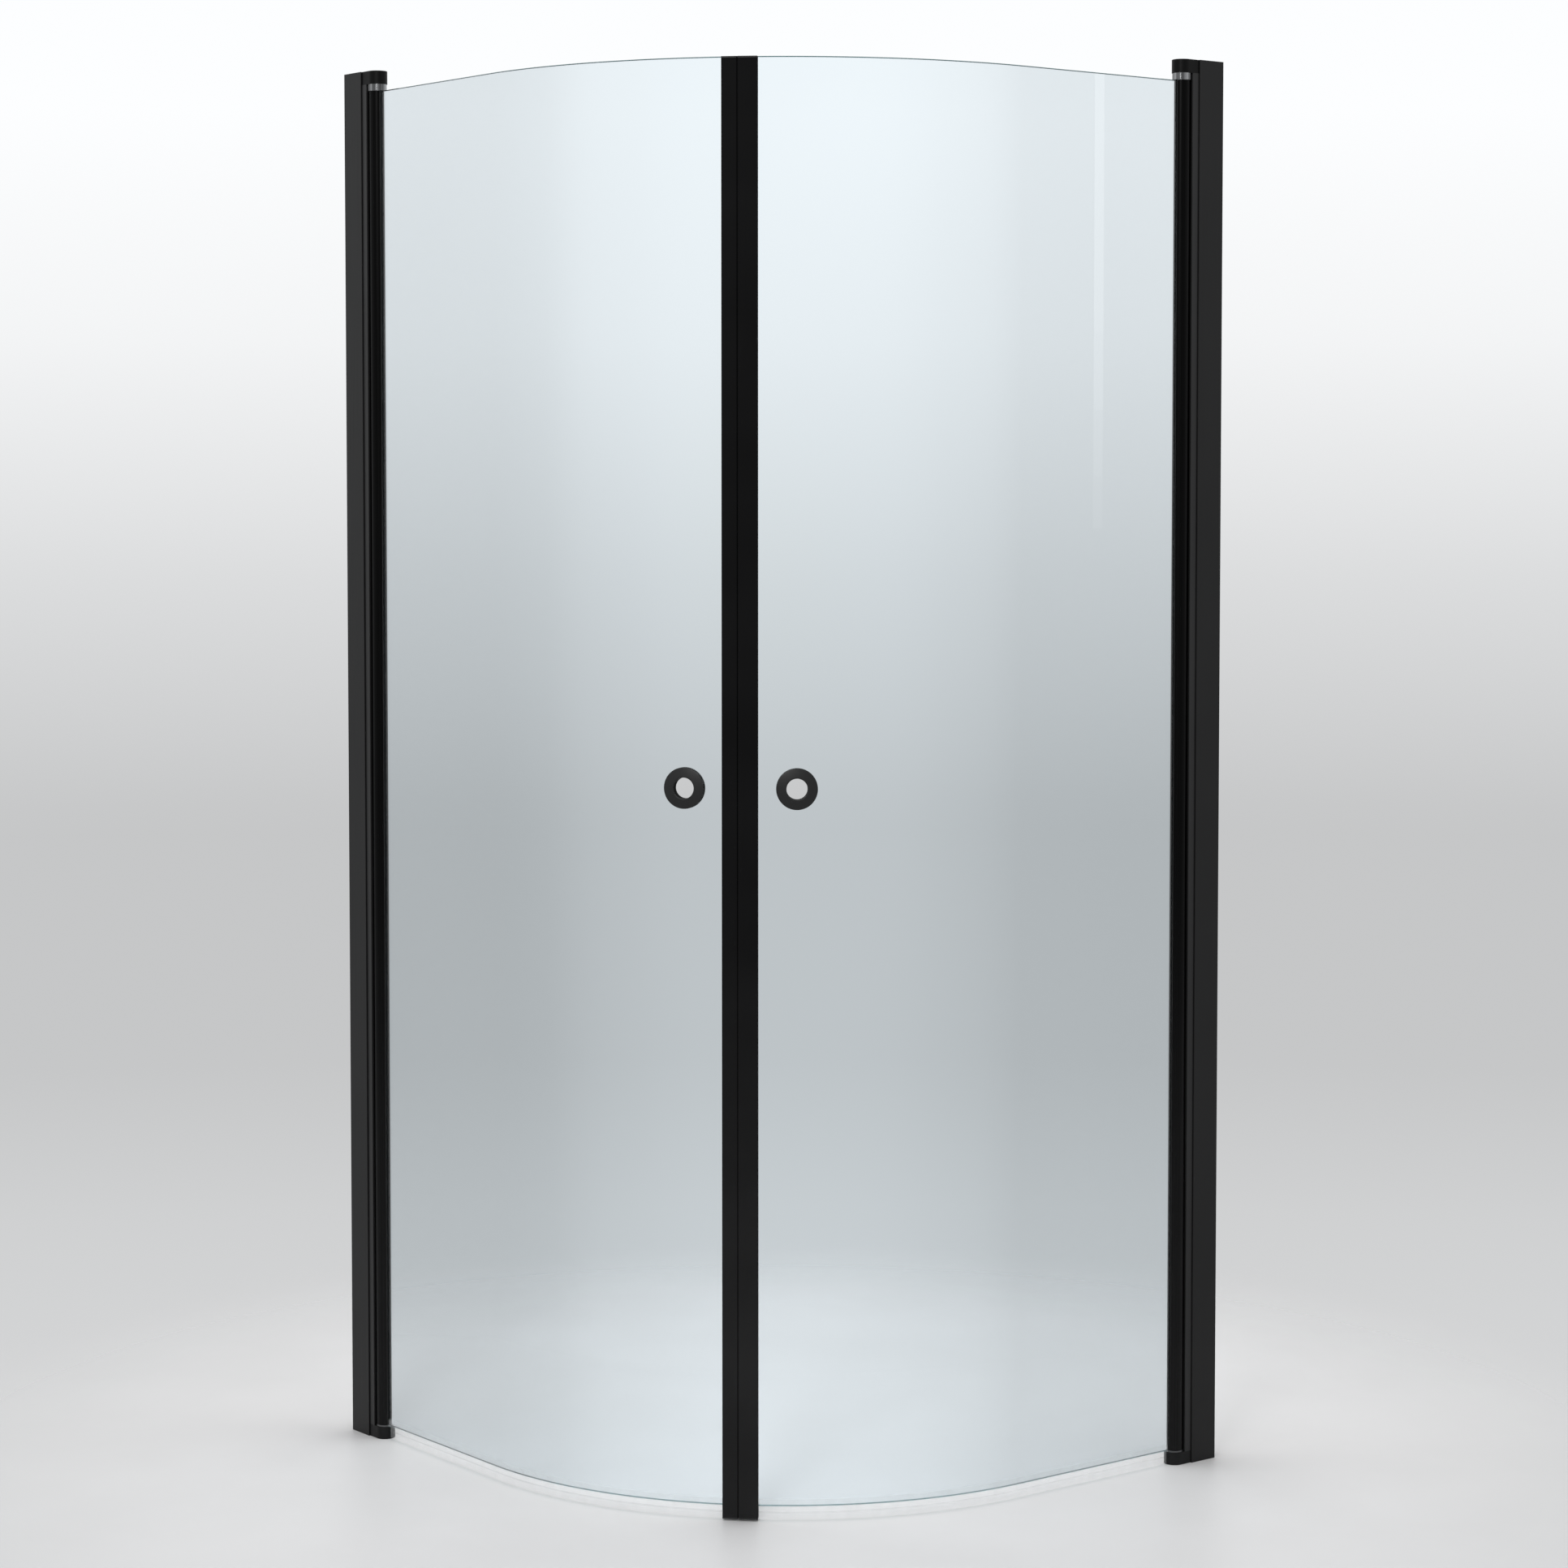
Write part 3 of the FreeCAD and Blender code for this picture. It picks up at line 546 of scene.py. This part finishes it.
class Pane:
    """Mesh of a bent pane with a round hole and ground edges."""

    def __init__(self, leaf, hole_height):
        self.leaf = leaf
        self.bm = bmesh.new()
        self.hole = (leaf.along_of("handle_bush"), hole_height)
        low, high = (self.hole[0] - HOLE_PATCH, self.hole[0] + HOLE_PATCH)
        patch = [low + (high - low) * i / HOLE_STEPS for i in range(HOLE_STEPS + 1)]
        self.columns = leaf.stations(0.0, low)[:-1] + patch + leaf.stations(high, leaf.length)[1:]
        self.first_column = self.columns.index(low)
        low, high = (hole_height - HOLE_PATCH, hole_height + HOLE_PATCH)
        patch = [low + (high - low) * i / HOLE_STEPS for i in range(HOLE_STEPS + 1)]
        self.rows = [leaf.low.z] + patch + [leaf.high.z]
        self.first_row = 1

    def vertex(self, along, across, height):
        return self.bm.verts.new(self.leaf.place(along, across, height))

    def inset(self, values, index, amount):
        """Value of a column or row, drawn in from the edge of the pane."""
        if index == 0:
            return values[0] + amount
        if index == len(values) - 1:
            return values[-1] - amount
        return values[index]

    def border(self, first_column, last_column, first_row, last_row):
        """Columns and rows once round a rectangle."""
        bottom = [(i, first_row) for i in range(first_column, last_column)]
        right = [(last_column, j) for j in range(first_row, last_row)]
        top = [(i, last_row) for i in range(last_column, first_column, -1)]
        left = [(first_column, j) for j in range(last_row, first_row, -1)]
        return bottom + right + top + left

    def outer_border(self):
        return self.border(0, len(self.columns) - 1, 0, len(self.rows) - 1)

    def patch_border(self):
        last_column = self.first_column + HOLE_STEPS
        last_row = self.first_row + HOLE_STEPS
        return self.border(self.first_column, last_column, self.first_row, last_row)

    def hole_ring(self, radius, across, share=1.0):
        """Ring round the hole, part of the way from the patch's border to a radius."""
        ring = []
        for i, j in self.patch_border():
            along = self.columns[i] - self.hole[0]
            height = self.rows[j] - self.hole[1]
            scale = 1 + (radius / math.hypot(along, height) - 1) * share
            ring.append(self.vertex(
                self.hole[0] + along * scale, across, self.hole[1] + height * scale))
        return ring

    def face(self, across):
        """One polished face; gives its outer border and the border of its hole."""
        grid = {}
        inner_columns = range(self.first_column + 1, self.first_column + HOLE_STEPS)
        inner_rows = range(self.first_row + 1, self.first_row + HOLE_STEPS)
        for i in range(len(self.columns)):
            for j in range(len(self.rows)):
                if i in inner_columns and j in inner_rows:
                    continue
                along = self.inset(self.columns, i, GLASS_ARRIS)
                height = self.inset(self.rows, j, GLASS_ARRIS)
                grid[i, j] = self.vertex(along, across, height)
        patch_columns = range(self.first_column, self.first_column + HOLE_STEPS)
        patch_rows = range(self.first_row, self.first_row + HOLE_STEPS)
        for i in range(len(self.columns) - 1):
            for j in range(len(self.rows) - 1):
                if i in patch_columns and j in patch_rows:
                    continue
                self.bm.faces.new((grid[i, j], grid[i + 1, j], grid[i + 1, j + 1], grid[i, j + 1]))
        ring = [grid[place] for place in self.patch_border()]
        for step in range(HOLE_RINGS):
            share = (step + 1) / HOLE_RINGS
            next_ring = self.hole_ring(GLASS_HOLE_RADIUS + GLASS_ARRIS, across, share)
            bridge(self.bm, ring, next_ring)
            ring = next_ring
        return [grid[place] for place in self.outer_border()], ring

    def build(self, name):
        half = GLASS_THICKNESS / 2
        ground = half - GLASS_ARRIS
        borders = []
        holes = []
        front_border, front_hole = self.face(half)
        back_border, back_hole = self.face(-half)
        for across in (ground, -ground):
            border = []
            for i, j in self.outer_border():
                border.append(self.vertex(self.columns[i], across, self.rows[j]))
            borders.append(border)
            holes.append(self.hole_ring(GLASS_HOLE_RADIUS, across))
        for loops in ([front_border, *borders, back_border], [front_hole, *holes, back_hole]):
            for first, second in zip(loops, loops[1:]):
                bridge(self.bm, first, second, material=1)
        return new_piece(name, self.bm, [GLASS, GLASS_RIM])


def glass_panes():
    for side in SIDES:
        pane = Pane(Leaf(side, "glass"), handle_height(side)).build(f"{side}_glass_pane")
        stand_for(pane, f"{side}_door", f"{side}_glass")


def seal_outline(leaf):
    """Clear clip with two legs on the glass, a fin under it and a drip lip on the cabin side."""
    outer = leaf.half
    inner = outer - SEAL_WALL
    top = leaf.high.z
    web_top = top - SEAL_LEG
    web_bottom = web_top - SEAL_WEB
    drip = web_bottom - DRIP_ROOT_DROP
    tip = leaf.low.z
    return [
        (inner, web_top), (inner, top - SEAL_ROUND), (inner + SEAL_ROUND, top),
        (outer, top - SEAL_WALL), (outer, web_bottom + SEAL_ROUND), (outer - SEAL_ROUND, web_bottom),
        (FIN_ROOT, web_bottom - SEAL_ROUND), (FIN_TIP, tip + SEAL_ROUND), (FIN_TIP - SEAL_ROUND, tip),
        (SEAL_ROUND - FIN_TIP, tip), (-FIN_TIP, tip + SEAL_ROUND), (-FIN_ROOT, drip - DRIP_THICKNESS),
        (SEAL_ROUND - outer, drip - DRIP_DROP - DRIP_THICKNESS), (-outer, drip - DRIP_DROP),
        (-FIN_ROOT, drip), (-FIN_ROOT, web_bottom - SEAL_ROUND),
        (SEAL_ROUND - outer, web_bottom), (-outer, web_bottom + SEAL_ROUND), (-outer, top - SEAL_WALL),
        (-inner - SEAL_ROUND, top), (-inner, top - SEAL_ROUND), (-inner, web_top),
    ]


def bottom_seals():
    for side in SIDES:
        leaf = Leaf(side, "bottom_seal")
        seal = swept(f"{side}_vinyl_seal", leaf, seal_outline(leaf), [VINYL])
        stand_for(seal, f"{side}_door", f"{side}_bottom_seal")


def sleeve_outline():
    """Runs past the seam and offsets across the leaf, once round the sleeve of a magnet."""
    front = -SEAM_GAP / 2
    back = front - MAGNET_DEPTH
    half = MAGNET_WIDTH / 2
    outline = [(back, half - MAGNET_ROUND), (back, MAGNET_ROUND - half), (back + MAGNET_ROUND, -half)]
    outline.append((front - MAGNET_ROUND, -half))
    for step in range(CROWN_STEPS + 1):
        share = 2 * step / CROWN_STEPS - 1
        outline.append((front + MAGNET_CROWN * (1 - share ** 2), share * (half - MAGNET_ROUND)))
    outline.append((front - MAGNET_ROUND, half))
    outline.append((back + MAGNET_ROUND, half))
    return outline


def magnet_sleeves():
    for side, turn in (("left", -1), ("right", 1)):
        leaf = Leaf(side, "glass")
        low, high = left_box("magnet_strip", side)
        seam = leaf.straight + ENTRY_RADIUS * math.pi / 4 + turn * SEAM_OFFSET
        bm = bmesh.new()
        rows = []
        for height in (low.z, high.z):
            points = [leaf.place(seam + run, across, height) for run, across in sleeve_outline()]
            rows.append([bm.verts.new(point) for point in points])
        bridge(bm, *rows)
        for row in rows:
            bm.faces.new(row)
        sleeve = new_piece(f"{side}_magnet_sleeve", bm, [MAGNET_SLEEVE_SEAM_SHADE])
        stand_for(sleeve, f"{side}_door", f"{side}_magnet_strip")


# Handles

def turned_reach(node, middle, axis):
    """Radius and offset of each point of a node about an axis."""
    reach = []
    for vert in NODES[node].data.vertices:
        offset = (vert.co - middle).dot(axis)
        reach.append(((vert.co - middle - axis * offset).length, offset))
    return reach


def section_arc(radius, offset, size, first, last, steps):
    """Points on an arc in a turned section, with the angle counted from the axis."""
    angles = [first + (last - first) * step / steps for step in range(steps + 1)]
    return [(radius + size * math.sin(angle), offset + size * math.cos(angle)) for angle in angles]


def ring_face(bore, rim, front):
    """Radii and offsets over a domed face with rounded edges, from its rim to its bore."""
    rim_radius = rim - RING_RIM_ROUND
    bore_radius = bore + RING_BORE_ROUND
    rim_slope = math.asin(rim_radius / (RING_DOME - RING_RIM_ROUND))
    bore_slope = math.asin(bore_radius / (RING_DOME - RING_BORE_ROUND))
    bore_offset = front - RING_BORE_ROUND
    dome_offset = bore_offset - (RING_DOME - RING_BORE_ROUND) * math.cos(bore_slope)
    rim_offset = dome_offset + (RING_DOME - RING_RIM_ROUND) * math.cos(rim_slope)
    wall = math.pi / 2
    at_rim = section_arc(rim_radius, rim_offset, RING_RIM_ROUND, wall, rim_slope, RING_EDGE_STEPS)
    dome = section_arc(0.0, dome_offset, RING_DOME, rim_slope, bore_slope, RING_FACE_STEPS)
    at_bore = section_arc(bore_radius, bore_offset, RING_BORE_ROUND, bore_slope, -wall, RING_EDGE_STEPS)
    return at_rim[:-1] + dome + at_bore[1:]


def ring_section(node, middle, axis):
    """Closed section of a ring, with its sleeve if it has one, that ends at the front of its bore."""
    reach = turned_reach(node, middle, axis)
    bore = min(radius for radius, _ in reach)
    rim = max(radius for radius, _ in reach)
    tail = min(offset for _, offset in reach)
    front = max(offset for _, offset in reach)
    seat = min(offset for radius, offset in reach if radius > rim - RING_BORE_ROUND)
    sleeve = [radius for radius, offset in reach if offset < seat - RING_BORE_ROUND]
    back = [(bore, tail), (max(sleeve), tail), (max(sleeve), seat)] if sleeve else [(bore, seat)]
    return back + [(rim, seat)] + ring_face(bore, rim, front)


def handle_rings():
    """Both rings of each handle, turned about the axis of the hole in the glass."""
    up = Vector((0, 0, 1))
    for side in SIDES:
        leaf = Leaf(side, "glass")
        along = leaf.along_of("handle_bush")
        middle = leaf.place(along, 0.0, handle_height(side))
        outwards = (leaf.place(along, GLASS_THICKNESS, middle.z) - middle).normalized()
        beside = outwards.cross(up)
        for place, axis in (("outer", outwards), ("inner", -outwards)):
            node = f"{side}_handle_{place}_ring"
            section = ring_section(node, middle, axis)
            bm = bmesh.new()
            rows = []
            for step in range(RING_STEPS):
                angle = 2 * math.pi * step / RING_STEPS
                spoke = up * math.cos(angle) + beside * math.sin(angle)
                points = [middle + axis * offset + spoke * radius for radius, offset in section]
                rows.append([bm.verts.new(point) for point in points])
            for first, second in zip(rows, rows[1:] + rows[:1]):
                bridge(bm, first, second, closed=False)
                bm.faces.new((first[-1], first[0], second[0], second[-1])).material_index = 1
            ring = new_piece(f"{side}_{place}_pull", bm, [HANDLE_BLACK, BORE_BLACK])
            stand_for(ring, f"{side}_door", node)


# Screws

def loose_boxes(node):
    """Lowest and highest corners of each separate solid in a node."""
    bm = bmesh.new()
    bm.from_mesh(NODES[node].data)
    bmesh.ops.remove_doubles(bm, verts=bm.verts, dist=WELD_REACH)
    left = set(bm.verts)
    boxes = []
    while left:
        found = {left.pop()}
        edge = list(found)
        while edge:
            near = {link.other_vert(vert) for vert in edge for link in vert.link_edges} - found
            found |= near
            edge = list(near)
        left -= found
        spans = [[vert.co[i] for vert in found] for i in range(3)]
        boxes.append((Vector(map(min, spans)), Vector(map(max, spans))))
    bm.free()
    return sorted(boxes, key=lambda box: tuple(box[0]))


def recess_angles():
    """Angles round a cross recess, with its corners among them."""
    corner = math.atan2(RECESS_WIDTH, RECESS_LENGTH)
    quarter = [0.0, corner]
    quarter += [corner + (math.pi / 4 - corner) * i / ROUND_STEPS for i in range(1, ROUND_STEPS + 1)]
    quarter += [math.pi / 2 - angle for angle in reversed(quarter[1:-1])]
    return [turn * math.pi / 2 + angle for turn in range(4) for angle in quarter]


def recess_radius(angle):
    """Radius of the cross outline, as a share of the head's radius."""
    reach = max(abs(math.cos(angle)), abs(math.sin(angle)))
    side = min(abs(math.cos(angle)), abs(math.sin(angle)))
    return min(RECESS_LENGTH / reach, RECESS_WIDTH / max(side, TINY))


def driven(bm, top, axis, head_radius, outline):
    """Screw turned about an axis out of the head's top, with a cross recess in the head."""
    across = axis.orthogonal().normalized()
    beside = axis.cross(across)
    angles = recess_angles()

    def ring(height, radius):
        row = []
        for angle in angles:
            spoke = across * math.cos(angle) + beside * math.sin(angle)
            row.append(bm.verts.new(top + axis * height + spoke * radius(angle)))
        return row

    rows = [ring(height, lambda angle, reach=reach: reach) for reach, height in outline]
    rows.append(ring(0.0, lambda angle: recess_radius(angle) * head_radius))
    rows.append(ring(-RECESS_DEPTH, lambda angle: recess_radius(angle) * head_radius * RECESS_TAPER))
    for first, second in zip(rows, rows[1:]):
        bridge(bm, first, second)
    for row, height in ((rows[0], outline[0][1]), (rows[-1], -RECESS_DEPTH)):
        middle = bm.verts.new(top + axis * height)
        for first, second in zip(row, row[1:] + row[:1]):
            bm.faces.new((first, second, middle))


def pan_outline(head_radius, length):
    """Radii and heights of a pan head screw, from its tip to the flat of its head."""
    outline = [
        (PAN_SHANK - SCREW_TIP, -length), (PAN_SHANK, SCREW_TIP - length),
        (PAN_SHANK, -PAN_HEIGHT), (head_radius, -PAN_HEIGHT),
    ]
    for step in range(ROUND_STEPS + 1):
        angle = math.pi / 2 * step / ROUND_STEPS
        inner = head_radius - PAN_ROUND
        outline.append((inner + PAN_ROUND * math.cos(angle), PAN_ROUND * (math.sin(angle) - 1)))
    return outline


def sunk_outline(head_radius, length):
    """Radii and heights of a countersunk screw, from its tip to the flat of its head."""
    return [
        (SUNK_SHANK - SCREW_TIP, -length), (SUNK_SHANK, SCREW_TIP - length),
        (SUNK_SHANK, SUNK_SHANK - head_radius - SUNK_LAND), (head_radius, -SUNK_LAND), (head_radius, 0.0),
    ]


def profile_screws():
    """Pan head screws, driven from the cabin side across the post."""
    for side in SIDES:
        axis = turned_side(0, 1, 0, side)
        bm = bmesh.new()
        for low, high in loose_boxes(f"{side}_profile_screws"):
            head_radius = (high.z - low.z) / 2
            middle = (low + high) / 2
            length = (high - low).dot(Vector(map(abs, axis)))
            top = middle + axis * length / 2
            driven(bm, top, axis, head_radius, pan_outline(head_radius, length))
        screws = new_piece(f"{side}_pan_screws", bm, [STEEL])
        stand_for(screws, "frame", f"{side}_profile_screws")


def bracket_screws():
    """Countersunk screws, driven down into the upper bracket and up into the lower one."""
    for side in SIDES:
        bm = bmesh.new()
        middle_height = (CAD_BOX[0][2] + CAD_BOX[1][2]) / 2
        for low, high in loose_boxes(f"{side}_bracket_screws"):
            head_radius = (high.x - low.x) / 2
            middle = (low + high) / 2
            length = high.z - low.z
            axis = Vector((0, 0, 1 if middle.z > middle_height else -1))
            driven(bm, middle + axis * length / 2, axis, head_radius, sunk_outline(head_radius, length))
        screws = new_piece(f"{side}_sunk_screws", bm, [STEEL])
        stand_for(screws, "frame", f"{side}_bracket_screws")


# Stage, light and camera

def floor_material():
    """Pale floor, mottled a little, that fades into the backdrop away from the object."""
    material, tree, main = new_material("pale_floor")
    cloud = noise(tree, FLOOR_GRAIN, 4.0)
    tree.links.new(tones(tree, cloud, FLOOR_DARK, FLOOR_LIGHT), main.inputs["Base Color"])
    main.inputs["Roughness"].default_value = FLOOR_ROUGH
    main.inputs["Specular IOR Level"].default_value = FLOOR_SHINE
    place = tree.nodes.new("ShaderNodeTexCoord")
    reach = tree.nodes.new("ShaderNodeVectorMath")
    reach.operation = "LENGTH"
    tree.links.new(place.outputs["Object"], reach.inputs[0])
    part_clear(tree, main, smooth_share(tree, reach.outputs["Value"], FLOOR_SOLID, FLOOR_FADE))
    return material


def add_floor():
    bm = bmesh.new()
    bmesh.ops.create_circle(bm, cap_ends=True, radius=FLOOR_RADIUS, segments=FLOOR_STEPS)
    floor = new_piece("floor", bm, [floor_material()])
    floor.location = (*STAGE_CENTRE, CAD_BOX[0][2])


def backdrop_tone(tone):
    return tuple(tone * channel for channel in BACKDROP_TINT)


def add_world():
    """Plain light on the object, and a pale backdrop: lighter upwards behind it, grey on the other side."""
    world = bpy.data.worlds.new("studio")
    world.use_nodes = True
    bpy.context.scene.world = world
    tree = world.node_tree
    plain = tree.nodes["Background"]
    plain.inputs["Color"].default_value = (1, 1, 1, 1)
    plain.inputs["Strength"].default_value = PLAIN_LIGHT
    place = tree.nodes.new("ShaderNodeTexCoord")
    parts = tree.nodes.new("ShaderNodeSeparateXYZ")
    tree.links.new(place.outputs["Generated"], parts.inputs["Vector"])
    rise = tree.nodes.new("ShaderNodeMapRange")
    rise.inputs["From Min"].default_value = -1.0
    rise.inputs["From Max"].default_value = 1.0
    tree.links.new(parts.outputs["Z"], rise.inputs["Value"])
    gradient = tree.nodes.new("ShaderNodeValToRGB")
    fill_ramp(gradient.color_ramp, [((height + 1) / 2, backdrop_tone(tone)) for height, tone in BACKDROP])
    tree.links.new(rise.outputs["Result"], gradient.inputs["Fac"])
    towards = tree.nodes.new("ShaderNodeVectorMath")
    towards.operation = "DOT_PRODUCT"
    towards.inputs[1].default_value = (math.cos(GREY_TURN), math.sin(GREY_TURN), 0)
    tree.links.new(place.outputs["Generated"], towards.inputs[0])
    share = smooth_share(tree, towards.outputs["Value"], GREY_EDGE, GREY_FULL)
    both = tree.nodes.new("ShaderNodeMix")
    both.data_type = "RGBA"
    tree.links.new(share, both.inputs["Factor"])
    tree.links.new(gradient.outputs["Color"], both.inputs["A"])
    both.inputs["B"].default_value = (*backdrop_tone(GREY_TONE), 1)
    shown = tree.nodes.new("ShaderNodeBackground")
    tree.links.new(both.outputs["Result"], shown.inputs["Color"])
    path = tree.nodes.new("ShaderNodeLightPath")
    seen = path.outputs["Is Camera Ray"]
    for other in ("Is Glossy Ray", "Is Transmission Ray"):
        either = tree.nodes.new("ShaderNodeMath")
        either.operation = "MAXIMUM"
        tree.links.new(seen, either.inputs[0])
        tree.links.new(path.outputs[other], either.inputs[1])
        seen = either.outputs["Value"]
    mix = tree.nodes.new("ShaderNodeMixShader")
    tree.links.new(seen, mix.inputs["Fac"])
    tree.links.new(plain.outputs["Background"], mix.inputs[1])
    tree.links.new(shown.outputs["Background"], mix.inputs[2])
    tree.links.new(mix.outputs["Shader"], tree.nodes["World Output"].inputs["Surface"])


def add_lamp(name, place, target, size, power, mirrored):
    """Soft rectangular lamp that faces a point and shows itself at most in gloss."""
    data = bpy.data.lights.new(name, "AREA")
    data.shape = "RECTANGLE"
    data.size, data.size_y = size
    data.energy = power
    lamp = bpy.data.objects.new(name, data)
    lamp.location = place
    lamp.rotation_euler = (Vector(target) - Vector(place)).to_track_quat("-Z", "Y").to_euler()
    lamp.visible_camera = False
    lamp.visible_transmission = False
    lamp.visible_glossy = mirrored
    bpy.context.scene.collection.objects.link(lamp)


def add_light():
    for name, softbox in SOFTBOXES.items():
        add_lamp(name, *softbox)
    for number, (low, high, glow) in enumerate(STREAK):
        height = (low + high) / 2
        size = (STREAK_WIDTH, high - low)
        place = (*STREAK_PLACE, height)
        power = glow * math.pi * size[0] * size[1]
        add_lamp(f"streak_strip_{number + 1}", place, (*STREAK_TARGET, height), size, power, True)


def add_camera():
    data = bpy.data.cameras.new("camera")
    data.lens = CAMERA_LENS
    data.sensor_width = CAMERA_SENSOR
    data.shift_y = CAMERA_SHIFT
    camera = bpy.data.objects.new("camera", data)
    camera.location = CAMERA_PLACE
    camera.rotation_euler = (math.pi / 2 - CAMERA_DIP, 0, CAMERA_TURN)
    bpy.context.scene.collection.objects.link(camera)
    bpy.context.scene.camera = camera


dress_nodes()
glass_panes()
bottom_seals()
magnet_sleeves()
handle_rings()
profile_screws()
bracket_screws()
add_floor()
add_world()
add_light()
add_camera()
bpy.context.scene.view_settings.view_transform = "Standard"
